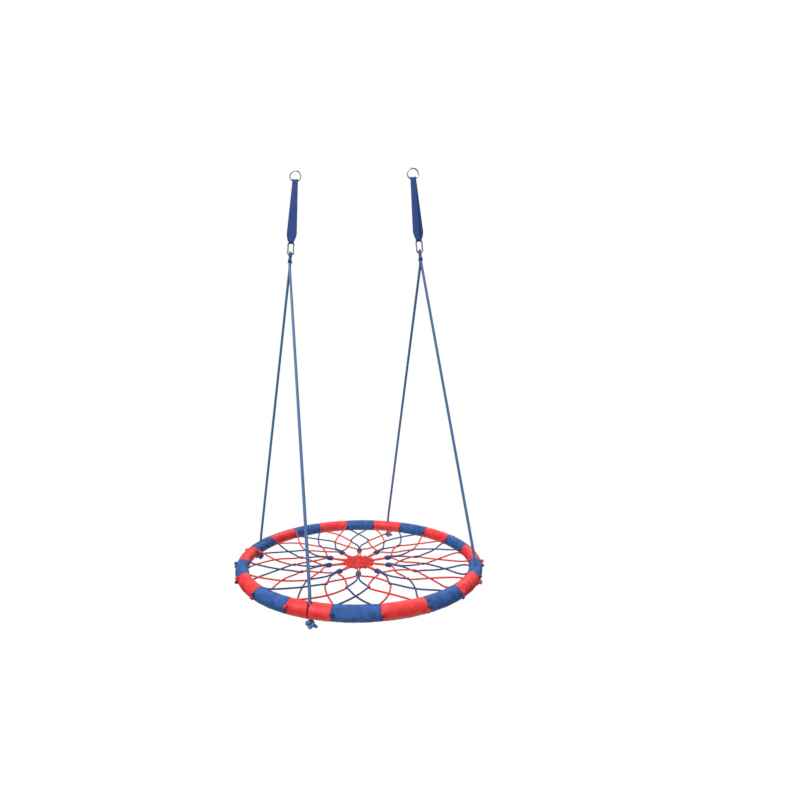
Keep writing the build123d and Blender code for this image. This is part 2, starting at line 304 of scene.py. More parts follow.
def weld(mesh):
    """Joins points that lie on each other, such as a fan's rim and the tube's end."""
    shape = bmesh.new()
    shape.from_mesh(mesh)
    bmesh.ops.remove_doubles(shape, verts=shape.verts, dist=SAME_PLACE)
    shape.to_mesh(mesh)
    shape.free()


BLUNTNESS = 0.97


def end_rounding(along, radius, closed):
    """How the radius falls off over the last bit of an open tube."""
    if closed:
        return np.ones_like(along)
    depth = np.minimum(along, along[-1] - along)
    share = np.clip(1 - depth / radius, 0, BLUNTNESS)
    return np.sqrt(1 - share**2)


# How deep the grooves of a laid rope are, of its radius
LAY_STRANDS = 3
LAY_GROOVE = 0.26


def twisted(shell, line, radius, pitch, sides=15, closed=False):
    """A laid rope: three strands twisted round each other, with painted shade in the grooves
    between them.
    """
    along = distances(line)
    around = np.arange(sides) * 2 * pi / sides
    if closed:
        turns = max(1, round(along[-1] / pitch))
        pitch = along[-1] * len(line) / (len(line) - 1) / turns
    phase = around[None, :] - 2 * pi * along[:, None] / pitch
    lobe = np.abs(np.cos(LAY_STRANDS / 2 * phase))
    ends = end_rounding(along, radius, closed)[:, None]
    reach = radius * (1 - LAY_GROOVE * (1 - lobe) ** 1.5) * ends
    # Painted shade: the tone is darkest in the grooves between the strands.
    tones = ((1 - lobe) ** 1.2).ravel()
    rings = rings_round(line, closed, reach, around)
    shell.add_rings(rings, around, along, closed, tones=tones)


PLAIT_CARRIERS = 8
PLAIT_CELL = 0.0068
PLAIT_SHADE = 0.6


def plaited(around, travel):
    """Height and tone of two families of strands that pass over and under each other: every other
    strand darker in its own colour, and painted shade where a strand dips low.
    """
    left = PLAIT_CARRIERS / 2 * around[None, :] + travel[:, None]
    right = PLAIT_CARRIERS / 2 * around[None, :] - travel[:, None]
    over = np.sqrt(np.abs(np.cos(left))) * (0.5 + 0.5 * np.sign(np.cos(left)) * np.cos(right))
    under = np.sqrt(np.abs(np.cos(right))) * (0.5 - 0.5 * np.sign(np.cos(right)) * np.cos(left))
    height = np.maximum(over, under)
    strand = np.where(over > under, np.round(left / pi), np.round(right / pi) + 1)
    dark = (np.mod(strand, 2) == 0).astype(float)
    # Every other strand is darker in its own colour; PLAIT_SHADE adds painted shade in the low
    # parts.
    return height, np.clip(dark + PLAIT_SHADE * (1 - height) ** 2, 0, 1).ravel()


def braided(shell, line, radius, sides=32):
    """An open length of plaited rope."""
    along = distances(line)
    around = np.arange(sides) * 2 * pi / sides
    height, tones = plaited(around, pi * along / PLAIT_CELL)
    reach = radius * (0.84 + 0.17 * height) * end_rounding(along, radius, False)[:, None]
    shell.add_rings(rings_round(line, False, reach, around), around, along, tones=tones)


def braided_ring(shell, line, radius, sides=20, cells=28):
    """A closed length of plaited rope, as in a knot."""
    around = np.arange(sides) * 2 * pi / sides
    along = np.arange(len(line)) * np.linalg.norm(line[1] - line[0])
    height, tones = plaited(around, pi * cells * np.arange(len(line)) / len(line))
    reach = radius * (0.82 + 0.18 * height)
    rings = rings_round(line, True, reach, around)
    shell.add_rings(rings, around, along, closed=True, tones=tones)


def trefoil(centre, axis, scale, depth, points=64, turn=0.0):
    """The line of an overhand knot pulled tight, lying square to an axis."""
    ahead = Vector(axis).normalized()
    first = ahead.cross((0.37, 0.21, 0.9)).normalized()
    second = ahead.cross(first)
    t = np.arange(points) * 2 * pi / points + turn
    x = scale * (np.sin(t) + 2 * np.sin(2 * t))
    y = scale * (np.cos(t) - 2 * np.cos(2 * t))
    z = -depth * np.sin(3 * t)
    return (
        np.array(centre)
        + x[:, None] * np.array(first)
        + y[:, None] * np.array(second)
        + z[:, None] * np.array(ahead)
    )


def stadium_coil(start, axes, half_gap, reach, pitch, turns, samples=28):
    """A coil round two lines side by side: axes are ahead, to the side and square to both."""
    ahead, side, normal = axes
    count = int(turns * samples) + 1
    t = np.linspace(0, turns * 2 * pi, count)
    x = np.cos(t) * reach + half_gap * np.tanh(3 * np.cos(t))
    y = np.sin(t) * reach
    z = t / (2 * pi) * pitch
    return (
        np.array(start)
        + x[:, None] * np.array(side)
        + y[:, None] * np.array(normal)
        + z[:, None] * np.array(ahead)
    )


# Materials
class Look:
    """A procedural material, put together node by node."""

    def __init__(self, name, **settings):
        self.material = bpy.data.materials.new(name)
        self.material.use_nodes = True
        self.tree = self.material.node_tree
        self.shader = self.tree.nodes["Principled BSDF"]
        for socket, value in settings.items():
            self.shader.inputs[socket.replace("_", " ")].default_value = value

    def node(self, kind, links=(), **settings):
        """A node with its settings, and its inputs linked by name or number."""
        made = self.tree.nodes.new("ShaderNode" + kind)
        for key, value in settings.items():
            if hasattr(made, key):
                setattr(made, key, value)
            else:
                made.inputs[key.replace("_", " ")].default_value = value
        for socket, output in dict(links).items():
            self.tree.links.new(output, made.inputs[socket])
        return made

    def uv(self, along, across):
        """UV coordinates, metres along and turns around, scaled."""
        place = self.node("TexCoord").outputs["UV"]
        return self.node("Mapping", {"Vector": place}, Scale=(along, across, 1)).outputs[0]

    def place(self):
        """The place on the object, in metres."""
        return self.node("TexCoord").outputs["Object"]

    def noise(self, vector, scale, detail=3.0, roughness=0.55):
        """Cloudy noise from 0 to 1."""
        made = self.node("TexNoise", {"Vector": vector}, Scale=scale, Detail=detail)
        made.inputs["Roughness"].default_value = roughness
        return made.outputs["Fac"]

    def tone(self):
        """The tone that the mesh carries at each point: painted shade in grooves and dips, and the
        darker strands of plaited rope.
        """
        return self.node("Attribute", attribute_name="tone").outputs["Fac"]

    def maths(self, operation, first, second=None):
        """Two values or outputs put through one sum."""
        made = self.node("Math", operation=operation)
        for socket, value in zip(made.inputs, (first, second)):
            if isinstance(value, (int, float)):
                socket.default_value = value
            elif value is not None:
                self.tree.links.new(value, socket)
        return made.outputs[0]

    def blend(self, first, share, second, other_share):
        """Two outputs added up, each by its own share."""
        return self.maths(
            "ADD",
            self.maths("MULTIPLY", first, share),
            self.maths("MULTIPLY", second, other_share),
        )

    def ramp(self, value, *stops):
        """Colours spread over a value: pairs of place and colour."""
        made = self.node("ValToRGB", {"Fac": value})
        stretch = made.color_ramp.elements
        while len(stretch) < len(stops):
            stretch.new(0.5)
        for element, (place, colour) in zip(stretch, stops):
            element.position = place
            element.color = (*colour, 1)
        return made.outputs["Color"]

    def span(self, value, low, high):
        """A value from 0 to 1 spread over a range."""
        made = self.node("MapRange", {"Value": value}, To_Min=low, To_Max=high)
        return made.outputs["Result"]

    def bump(self, height, distance, strength=1.0):
        """Fine relief on the surface."""
        made = self.node("Bump", {"Height": height}, Distance=distance, Strength=strength)
        self.tree.links.new(made.outputs["Normal"], self.shader.inputs["Normal"])

    def drive(self, socket, output):
        """Links an output to one of the shader's own sockets."""
        self.tree.links.new(output, self.shader.inputs[socket])


def cover_red_look():
    """Smooth coated cloth with a faint plain weave and soft, paler wear."""
    look = Look("cover_cloth_red", Roughness=0.5)
    clouds = look.noise(look.place(), 38, 4)
    look.drive("Base Color", look.ramp(
        clouds,
        (0.3, (0.74, 0.020, 0.026)),
        (0.55, (0.86, 0.036, 0.040)),
        (0.8, (0.92, 0.085, 0.085)),
    ))
    look.drive("Roughness", look.span(look.noise(look.place(), 90), 0.4, 0.62))
    threads = weave(look, 1100, 26)
    creases = look.noise(look.place(), 60, 2)
    look.bump(look.maths("ADD", look.maths("MULTIPLY", threads, 0.25), creases), 0.0006, 0.5)
    return look.material


def weave(look, along, across):
    """Plain weave from two sets of threads, over the UV map."""
    place = look.node("SeparateXYZ", {"Vector": look.uv(1, 1)})
    warp = look.maths("SINE", look.maths("MULTIPLY", place.outputs[0], along * 2 * pi))
    weft = look.maths("SINE", look.maths("MULTIPLY", place.outputs[1], across * 4.0))
    return look.maths("MULTIPLY", warp, weft)


def cover_blue_look():
    """Mottled woven cloth: the mottle is the yarn's own colour, and since the same noise lowers
    the bump, its dark spots also paint shade into the low parts of the weave.
    """
    look = Look("cover_cloth_blue", Roughness=0.6)
    mottle_and_painted_shade = look.noise(look.place(), 420, 2, 0.7)
    clouds = look.noise(look.place(), 45, 3)
    # The mottle noise is the yarn's own colour and also painted shade: its dark parts are the low
    # parts of the bump.
    mixed = look.blend(mottle_and_painted_shade, 0.65, clouds, 0.35)
    look.drive("Base Color", look.ramp(
        mixed,
        (0.34, (0.006, 0.030, 0.150)),
        (0.5, (0.016, 0.088, 0.330)),
        (0.66, (0.055, 0.210, 0.560)),
    ))
    look.drive("Roughness", look.span(mottle_and_painted_shade, 0.5, 0.8))
    threads = weave(look, 520, 14)
    look.bump(look.maths("ADD", look.maths("MULTIPLY", threads, 0.5), mottle_and_painted_shade), 0.0006, 0.7)
    return look.material


def rope_look(name, dark, middle, light):
    """Polypropylene rope: fine fibres that run with the lay, with painted shade between strands
    and, on plaited rope, every other strand darker.
    """
    look = Look(name, Roughness=0.5)
    fibres = look.noise(look.uv(260, 3.0), 5, 3, 0.7)
    tone_with_painted_shade = look.tone()
    # Painted shade: the colour darkens where the mesh's tone marks a groove or a dipping strand.
    shade = look.maths("SUBTRACT", fibres, look.maths("MULTIPLY", tone_with_painted_shade, 0.5))
    look.drive("Base Color", look.ramp(shade, (0.0, dark), (0.42, middle), (0.75, light)))
    look.drive("Roughness", look.span(fibres, 0.35, 0.6))
    look.bump(fibres, 0.0003, 0.6)
    return look.material


def webbing_look():
    """Coarse woven webbing: ribs along it, with paler crossing threads, and painted shade in the
    low parts between the ribs.
    """
    look = Look("webbing", Roughness=0.65)
    tone_with_painted_shade = look.tone()
    threads = look.noise(look.uv(700, 12), 1.0, 2, 0.6)
    clouds = look.noise(look.place(), 160, 3, 0.7)
    shade = look.blend(threads, 0.35, clouds, 0.5)
    # Painted shade: darker where the tone marks a low part between ribs.
    shade = look.maths("SUBTRACT", shade, look.maths("MULTIPLY", tone_with_painted_shade, 0.28))
    look.drive("Base Color", look.ramp(
        shade,
        (0.05, (0.003, 0.016, 0.095)),
        (0.32, (0.009, 0.062, 0.310)),
        (0.55, (0.045, 0.190, 0.600)),
    ))
    look.bump(threads, 0.0004, 0.8)
    return look.material


def steel_look():
    """Bright zinc plate with faint spangle, small scratches and duller patches."""
    look = Look("plated_steel", Metallic=1.0)
    patches = look.noise(look.place(), 120, 4)
    drawn_out = look.node("Mapping", {"Vector": look.place()}, Scale=(1, 1, 0.08))
    scratches = look.noise(drawn_out.outputs[0], 1500, 2)
    look.drive("Base Color", look.ramp(
        patches,
        (0.3, (0.40, 0.41, 0.42)),
        (0.6, (0.58, 0.59, 0.60)),
        (0.8, (0.68, 0.68, 0.67)),
    ))
    look.drive("Roughness", look.span(look.maths("MULTIPLY", patches, scratches), 0.16, 0.5))
    look.bump(scratches, 0.0001, 0.25)
    return look.material


def hoop_steel_look():
    """The tube inside the padding: dull galvanised steel."""
    look = Look("hoop_steel", Metallic=1.0)
    look.drive("Base Color", look.ramp(
        look.noise(look.place(), 70, 5), (0.35, (0.30, 0.31, 0.32)), (0.7, (0.50, 0.51, 0.52))
    ))
    look.drive("Roughness", look.span(look.noise(look.place(), 300), 0.35, 0.6))
    return look.material


def foam_painted_shade_look():
    """Closed-cell foam, seen only down the slits, coloured near-black as painted shade for the
    deep slit.
    """
    look = Look("foam", Roughness=0.95)
    cells = look.node("TexVoronoi", {"Vector": look.place()}, Scale=900).outputs["Distance"]
    look.drive("Base Color", look.ramp(
        cells, (0.0, (0.006, 0.007, 0.012)), (1.0, (0.020, 0.022, 0.034))
    ))
    look.bump(cells, 0.0004, 0.6)
    return look.material


def floor_look():
    """A pale floor with the faintest unevenness."""
    look = Look("studio_floor", Roughness=0.9, Specular_IOR_Level=0.1)
    look.drive("Base Color", look.ramp(
        look.noise(look.place(), 1.5, 2), (0.3, (0.90, 0.90, 0.90)), (0.7, (0.93, 0.93, 0.93))
    ))
    return look.material


# The hanging ropes
TAIL_END = 0.008
ROPE_STRAIGHT = 12 * HANG_RADIUS
ROPE_STEP = 0.0012
KNOT_SCALE = 0.0037
KNOT_DEPTH = 0.0075
KNOT_POINTS = 120
KNOT_AXIS = (0.25, -0.2, 1)
KNOT_ROPE_RADIUS = 0.95 * HANG_RADIUS
FRAYED_END = (0.006, 0.014, 0.026)
FAR_LEFT = -0.3


def rope_route(side):
    """One hanging rope, from a tail under the hoop over the hook and down to the other."""
    first = SEAT_TURN - 45 if side > 0 else SEAT_TURN + 135
    bight = WIRE_RADIUS + BOW_CLEARANCE + HANG_RADIUS
    together = HANG_RADIUS + BINDING_GAP
    part_up = BOTTOM_WIRE - BINDING_DROP - BINDING_HEIGHT - HANG_RADIUS
    squeeze_up = BOTTOM_WIRE - BINDING_DROP + HANG_RADIUS
    halves = []
    for square, anchor in ((1, first), (-1, first + 90)):
        edge = polar(HOOP_RADIUS, anchor, HOOP_HEIGHT + TUBE_RADIUS + BEND_DROP)
        part = hanger_point(side, 0, part_up, square * together)
        run = (part - edge).normalized() * ROPE_STRAIGHT
        halves.append([
            polar(HOOP_RADIUS, anchor, TAIL_END),
            edge,
            edge + run,
            part - run,
            part,
            hanger_point(side, 0, squeeze_up, square * together),
            hanger_point(side, 0, BOTTOM_WIRE - WIRE_RADIUS, square * bight),
            hanger_point(side, 0, BOTTOM_WIRE + bight, square * bight),
        ])
    return halves[0] + halves[1][::-1]


def add_tail_knot(name, end, turn, material):
    """The knot under the hoop, with a short end sticking out of it."""
    knot_height = HOOP_HEIGHT - PAD_RADIUS - TAIL_KNOT_RADIUS - ROPE_GAP
    centre = (end[0], end[1], knot_height)
    shell = Shell()
    knot_line = trefoil(centre, KNOT_AXIS, KNOT_SCALE, KNOT_DEPTH, KNOT_POINTS, turn)
    braided_ring(shell, knot_line, KNOT_ROPE_RADIUS)
    outward = Vector((end[0], end[1], 0)).normalized()
    # The short end points to the right, but away from the hoop at the far left
    facing = 1 if end[0] > FAR_LEFT else -1
    away = (outward * 0.25 + Vector((1.0, 0.1, -0.42)) * facing).normalized()
    away.z = -abs(away.z)
    tail = [Vector(centre) + away * reach for reach in FRAYED_END]
    braided(shell, spline_line(tail, ROPE_STEP), KNOT_ROPE_RADIUS)
    knot = shell.make(name, material)
    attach(knot, "seat")
    return knot


def add_hanging_rope(side, hand, material):
    """One rope with its two tail knots."""
    line = spline_line(rope_route(side), ROPE_STEP)
    shell = Shell()
    braided(shell, line, HANG_RADIUS)
    rope = shell.make(f"hanging_rope_{hand}", material)
    knots = [
        add_tail_knot(f"tail_knot_{hand}_{index + 1}", end, index, material)
        for index, end in enumerate((line[0], line[-1]))
    ]
    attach(rope, "seat")
    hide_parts(f"rope_{hand}")


WHIPPING_RADIUS = 0.0013
WHIPPING_TURNS = 4.5
WHIPPING_LAY = 0.005
WHIPPING_STEP = 0.0009


def add_binding(side, hand, material):
    """The whipping that holds a rope's two legs together under the hook."""
    outward, up, across = hanger_axes(side)
    low_end = hanger_point(side, 0, BOTTOM_WIRE - BINDING_DROP - BINDING_HEIGHT, 0)
    half_gap = HANG_RADIUS + BINDING_GAP
    coil = stadium_coil(
        low_end + up * WHIPPING_RADIUS,
        (up, across, outward),
        half_gap,
        half_gap + WHIPPING_RADIUS,
        (BINDING_HEIGHT - 2 * WHIPPING_RADIUS) / WHIPPING_TURNS,
        WHIPPING_TURNS,
        40,
    )
    shell = Shell()
    twisted(shell, spaced(coil, WHIPPING_STEP), WHIPPING_RADIUS, WHIPPING_LAY, 9)
    binding = shell.make(f"rope_whipping_{hand}", material)
    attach(binding, "seat")
    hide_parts(f"rope_binding_{hand}")


# The net
NET_LAY = 0.019
NET_STEP = 0.0018
UPPER_KNOT_ANGLE = 18.0
LOWER_KNOT_ANGLE = -10.0
STOPPER_SCALE = 0.00155
STOPPER_DEPTH = 0.0030
STOPPER_LAY = 0.011
HITCH_CORD_RADIUS = 0.0025
HITCH_CORD_LAY = 0.012
HITCH_CORD_STEP = 0.0012
HITCH_REACH = 0.0052
HITCH_PITCH = 0.0052
HITCH_TURNS = 4.5
HITCH_START = 0.0022
HUB_RING_LAY = 0.02
HUB_RING_POINTS = 160
HUB_ROUND_POINTS = 240
CROSS_LIFT = 1.35
KNOT_SEAT = 0.55
NET_FULLNESS = 1.1
HUB_ROUNDS = (0.0042, 0.0105, 0.031, 0.037, 0.043, 0.049, 0.055, 0.061)
HUB_WAVE = 0.0042
LINK_HOOK = 0.0036
LINK_ARM = 0.011


def rim_points(angle, over):
    """A net rope's way from its knot outside the rim, over or under the tube."""
    rise = 1 if over else -1
    knot_angle = radians(UPPER_KNOT_ANGLE if over else LOWER_KNOT_ANGLE)
    knot_reach = PAD_RADIUS + KNOT_SEAT * RIM_KNOT_RADIUS
    knot_radius = HOOP_RADIUS + knot_reach * cos(knot_angle)
    knot_height = HOOP_HEIGHT + knot_reach * sin(knot_angle)
    tube_side = HOOP_HEIGHT + rise * OVER_TUBE
    inside = RIM_RADIUS - 4 * NET_RADIUS
    return [
        polar(knot_radius, angle, knot_height, rise * RIM_KNOT_OFFSET),
        polar(HOOP_RADIUS + TUBE_RADIUS, angle, tube_side),
        polar(HOOP_RADIUS - TUBE_RADIUS, angle, tube_side),
        polar(inside, angle, HOOP_HEIGHT + rise * STRAND_OFFSET),
    ]


def link_points(angle, toward, lift, before, after):
    """A rope's bend where it hooks through its neighbour, pulled straight on both sides."""
    height = dish(LINK)
    tip = polar(LINK, angle, height, toward * LINK_HOOK)
    outer = tip + (before - tip).normalized() * LINK_ARM
    inner = tip + (after - tip).normalized() * LINK_ARM
    outer.z = height + lift
    inner.z = height - lift
    return [outer, tip, inner]


def cross_point(radius, angle, side):
    """Where a rope crosses its own other half, one strand above the other."""
    return polar(radius, angle, dish(radius) + CROSS_LIFT * side * STRAND_OFFSET)


GRIP_HEIGHT = dish((HITCH_INNER + HITCH_OUTER) / 2)


def blue_half(axis, side, over):
    """Rim knot, crossing, link and stem, into the top of the hitch."""
    aside = side * STRAND_OFFSET
    crossing = cross_point(OUTER_CROSS, axis, side)
    fork = polar(FORK, axis, dish(FORK), aside)
    return [
        *rim_points(axis - side * PAD_ANGLE / 2, over),
        crossing,
        *link_points(axis + side * PAD_ANGLE / 2, side, LINK_LIFT, crossing, fork),
        fork,
        polar(HITCH_OUTER + 4 * NET_RADIUS, axis, GRIP_HEIGHT + NET_RADIUS, aside),
        polar(HITCH_OUTER - NET_RADIUS, axis, GRIP_HEIGHT + 2 * NET_RADIUS, aside),
        polar(HITCH_INNER + 2 * NET_RADIUS, axis, GRIP_HEIGHT + 2.4 * NET_RADIUS, aside),
    ]


def red_half(axis, side, over):
    """Rim knot, crossings and link, through a hitch, to the inside of the hub ring."""
    hitch = axis + side * PAD_ANGLE
    ring_pass = side * (HUB_RING_THICKNESS / 2 + STRAND_OFFSET)
    bight_radius = HUB_RING_RADIUS - HUB_RING_THICKNESS / 2 - STRAND_OFFSET
    grip = -side * STRAND_OFFSET
    hub = dish(0)
    outer = cross_point(OUTER_CROSS, axis, side)
    inner = cross_point(INNER_CROSS, axis, -side)
    return [
        *rim_points(axis + side * PAD_ANGLE / 2, over),
        outer,
        *link_points(axis - side * PAD_ANGLE / 2, -side, -LINK_LIFT, outer, inner),
        inner,
        polar(HITCH_OUTER + 2 * NET_RADIUS, hitch, GRIP_HEIGHT, grip),
        polar(HITCH_INNER - 2 * NET_RADIUS, hitch, GRIP_HEIGHT, grip),
        polar(HUB_EDGE_RADIUS, hitch, dish(HUB_EDGE_RADIUS), 1.5 * grip),
        polar(2 * HUB_RING_RADIUS, axis, hub + ring_pass, 2 * side * STRAND_OFFSET),
        polar(bight_radius, axis, hub + ring_pass, side * ROPE_GAP),
    ]


def add_rim_knot(shell, end, following, turn):
    """A stopper knot on the outer end of a net rope."""
    axis = Vector(following) - Vector(end)
    line = trefoil(end, axis, STOPPER_SCALE, STOPPER_DEPTH, turn=turn)
    twisted(shell, line, NET_RADIUS * 0.95, STOPPER_LAY, 12, closed=True)


def add_hitch(shell, axis):
    """The turns of blue rope that grip two red strands."""
    axes = (polar(1, axis, 0), polar(0, axis, 0, 1), (0, 0, 1))
    start = polar(HITCH_INNER + HITCH_START, axis, GRIP_HEIGHT)
    coil = stadium_coil(start, axes, STRAND_OFFSET, HITCH_REACH, HITCH_PITCH, HITCH_TURNS)
    twisted(shell, spaced(coil, HITCH_CORD_STEP), HITCH_CORD_RADIUS, HITCH_CORD_LAY, 12)


def add_middle(material):
    """The ring in the middle and the rounds woven over it."""
    shell = Shell()
    turns = np.arange(HUB_RING_POINTS) * 2 * pi / HUB_RING_POINTS
    flat = np.stack([np.cos(turns), np.sin(turns)], axis=1)
    ring = np.column_stack([flat * HUB_RING_RADIUS, np.full(HUB_RING_POINTS, dish(0))])
    twisted(shell, ring, HUB_RING_THICKNESS / 2, HUB_RING_LAY, 16, closed=True)
    turns = np.arange(HUB_ROUND_POINTS) * 2 * pi / HUB_ROUND_POINTS
    for index, radius in enumerate(HUB_ROUNDS):
        swing = HUB_WAVE * min(1, radius / HUB_RING_RADIUS)
        height = dish(radius) + swing * np.sin(10 * turns + index * pi)
        line = np.column_stack([radius * np.cos(turns), radius * np.sin(turns), height])
        twisted(shell, line, NET_FULLNESS * NET_RADIUS, NET_LAY, 12, closed=True)
    finish_net_rope(shell, "net_middle", material, "net_hub_ring")


def add_net(blue, red):
    """All twenty net ropes, and the ring and woven rounds in the middle."""
    for sector in range(PAD_COUNT // 2):
        axis = FIRST_PAD + sector * 2 * PAD_ANGLE
        number = f"{sector + 1:02d}"
        shell = Shell()
        for side, over in ((1, True), (-1, False)):
            stops = blue_half(axis, side, over)
            twisted(shell, spline_line(stops, NET_STEP), NET_FULLNESS * NET_RADIUS, NET_LAY)
            add_rim_knot(shell, stops[0], stops[1], sector + side)
        add_hitch(shell, axis)
        finish_net_rope(shell, f"blue_net_rope_{number}", blue, f"net_blue_{number}")

        shell = Shell()
        axis += PAD_ANGLE
        stops = red_half(axis, -1, True) + red_half(axis, 1, False)[::-1]
        twisted(shell, spline_line(stops, NET_STEP), NET_FULLNESS * NET_RADIUS, NET_LAY)
        add_rim_knot(shell, stops[0], stops[1], sector)
        add_rim_knot(shell, stops[-1], stops[-2], sector + 2)
        finish_net_rope(shell, f"red_net_rope_{number}", red, f"net_red_{number}")
    add_middle(red)


def finish_net_rope(shell, name, material, node):
    """Puts a finished net rope in its place."""
    piece = shell.make(name, material)
    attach(piece, "seat")
    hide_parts(node)


# The padding
PAD_GAP = 0.0003
PAD_STEP = 0.0024
PAD_SIDES = 96
ANCHORED_PAD_SIDES = 132
SLEEVE_RADIUS = 0.0143
SLEEVE_RINGS = 9
SLEEVE_STEP = 0.002
# How far each ring of a pad's end lies in from the seam, and its radius
PAD_END = (
    (0.0046, 0.0152), (0.0042, 0.0165), (0.0036, 0.0190), (0.0027, 0.0212), (0.0013, 0.0228),
    (0.0004, 0.0238), (0.0001, 0.0243), (0.0005, 0.0247), (0.0014, 0.0249), (0.0028, 0.0250),
)
CLOTH_FROM = 0.0247
# Where the net ropes come out of a seam, as angles round the tube
ROPE_EXITS = (36.7, -29.6, 147.5, -147.5)
DENT_WIDTH = 0.15
DENT_START = 0.001
DENT_REACH = 0.006
DENT_BACK = 0.0021
DENT_DEPTH = 0.0009
# Puckers at the seam, the hem's stitching, and the foam's swell between seams
PUCKER_HEIGHT = 0.00026
PUCKER_REACH = 0.010
HEM_PLACE = 0.0085
HEM_WIDTH = 0.0011
HEM_DEPTH = 0.00035
CROWN_RISE = 0.00055
CROWN_START = 0.0001
# Waves and height of each layer of soft unevenness
UNEVENNESS = ((9.0, 0.00022), (21.0, 0.00016), (43.0, 0.00009))
WAVE_STRETCH = 12
CREASE_COUNT = 3
CREASE_SLANT = 60
CREASE_WIDTH = 0.10
CREASE_DEPTH = 0.00032
CREASE_PLACE = 0.02
CREASE_SPACING = 0.012
CREASE_REACH = 0.016
WELT_ANGLE = -118
WELT_WIDTH = 0.0016
WELT_HEIGHT = 0.0006
# The slit over a hanging rope: places near it, and how deep it is at each
GROOVE_PLACES = (
    (0.0, 1.0), (0.0014, 1.0), (0.0026, 1.0), (0.0032, 0.96), (0.0036, 0.14), (0.0042, 0.04),
    (0.0056, 0.0), (0.0078, 0.0), (0.0105, 0.0), (0.0135, 0.0),
)
GROOVE_EDGE = 0.0034
GROOVE_FLOOR = 0.0155
GROOVE_CLOSED = 0.0007
GROOVE_PULL_START = 0.0042
GROOVE_PULL_REACH = 0.0093
HOLE_RADIUS = 0.0068
SLIT_HALF_WIDTH = 0.0021
SLIT_WIDENING = 0.0014
NOTCH_HALF_WIDTH = 0.004


def hill(distance, width):
    """A smooth hill, 1 in the middle and nearly 0 at twice its width."""
    return np.exp(-((distance / width) ** 2))


def wrapped(angle):
    """The same angle between minus and plus half a turn."""
    return np.angle(np.exp(1j * angle))


def pad_stations(anchored):
    """Places along a pad, in from its seams, with the radius and groove depth at each."""
    half = radians(PAD_ANGLE) * HOOP_RADIUS / 2
    ends = [(half - PAD_GAP - inset, radius, 0.0) for inset, radius in PAD_END]
    start_in = half - PAD_END[0][0]
    middle = [(0.0, PAD_RADIUS, 0.0)]
    if anchored:
        middle = [(place, PAD_RADIUS, depth) for place, depth in GROOVE_PLACES]
    reach = middle[-1][0]
    steps = int((start_in - reach) / PAD_STEP)
    shares = [(k + 1) / (steps + 1) for k in range(steps)]
    body = [(reach + (start_in - reach) * share, PAD_RADIUS, 0.0) for share in shares]
    right = middle + body + ends[::-1]
    left = [(-place, radius, depth) for place, radius, depth in right if place > 0][::-1]
    return left + right


def groove_half_width(around):
    """How wide the rope's hole and slit are at each angle round the pad."""
    upright = np.abs(np.cos(around)) * PAD_RADIUS
    hole = np.sqrt(np.clip(HOLE_RADIUS**2 - upright**2, 0, None))
    outer = np.cos(around) > 0
    slit = np.where(outer, SLIT_HALF_WIDTH + SLIT_WIDENING * (np.sin(around) + 1) / 2, 0)
    top = np.clip((np.sin(around) - 0.72) / 0.28, 0, 1)
    return np.maximum(hole, slit + np.where(outer, NOTCH_HALF_WIDTH * top, 0))


def shape_cloth(x, r, from_seam, around):
    """Dents, puckers, hem, swell, creases and welt, drawn in the cloth of one pad."""
    half = radians(PAD_ANGLE) * HOOP_RADIUS / 2
    cloth = r > CLOTH_FROM

    # The edge is pressed back where a rope comes out, and puckers next to the hem
    lip = hill((from_seam - DENT_START).clip(0), DENT_REACH)
    for exit_angle in ROPE_EXITS:
        dent = hill(wrapped(around - radians(exit_angle)), DENT_WIDTH)[None, :] * lip
        x -= np.sign(x) * DENT_BACK * dent
        r -= DENT_DEPTH * dent * cloth
    gathers = 15 + int(random.integers(0, 4))
    phases = random.uniform(0, 2 * pi, 10)
    pucker = np.cos(gathers * around + phases[0])
    pucker += 0.6 * np.cos((gathers - 6) * around + phases[1])
    r += cloth * PUCKER_HEIGHT * pucker[None, :] * np.exp(-from_seam / PUCKER_REACH)
    r -= cloth * HEM_DEPTH * hill(from_seam - HEM_PLACE, HEM_WIDTH)
    r += cloth * (CROWN_RISE * np.sqrt(np.clip(from_seam / half, 0, 1)) - CROWN_START)

    # Soft unevenness of foam under cloth, and a few long slanting creases
    for k, (waves, height) in enumerate(UNEVENNESS):
        wave = waves * x * WAVE_STRETCH + (k + 2) * around[None, :] + phases[2 + k]
        r += cloth * height * np.sin(wave)
    for k in range(CREASE_COUNT):
        lean = CREASE_SLANT * (1 if k % 2 else -1)
        crease = hill(wrapped(x * lean + around[None, :] - phases[5 + k]), CREASE_WIDTH)
        place = hill(from_seam - CREASE_PLACE - CREASE_SPACING * k, CREASE_REACH)
        r -= cloth * CREASE_DEPTH * crease * place
    welt = hill(wrapped(around - radians(WELT_ANGLE)) * PAD_RADIUS, WELT_WIDTH)
    r += cloth * WELT_HEIGHT * welt[None, :]


def cut_groove(x, r, depth, around):
    """Opens the hole and slit of a hanging rope, and says which points lie in them, for the
    near-black foam that paints the slit's shade.
    """
    width = groove_half_width(around)
    open_there = np.clip((width - 0.0004) / 0.0006, 0, 1)
    stretch = np.maximum(width, GROOVE_CLOSED) / GROOVE_EDGE
    near = 1 - np.clip((np.abs(x) - GROOVE_PULL_START) / GROOVE_PULL_REACH, 0, 1)
    x *= 1 + (stretch[None, :] - 1) * near
    cut = depth[:, None] * open_there[None, :]
    r -= (r - GROOVE_FLOOR) * cut
    return cut > 0.5


def on_hoop(turn, r, around):
    """Points at a turn along the hoop, a distance from its tube's middle and an angle round."""
    reach = HOOP_RADIUS + r * np.cos(around)
    height = HOOP_HEIGHT + r * np.sin(around)
    return np.stack([reach * np.cos(turn), reach * np.sin(turn), height], axis=2)


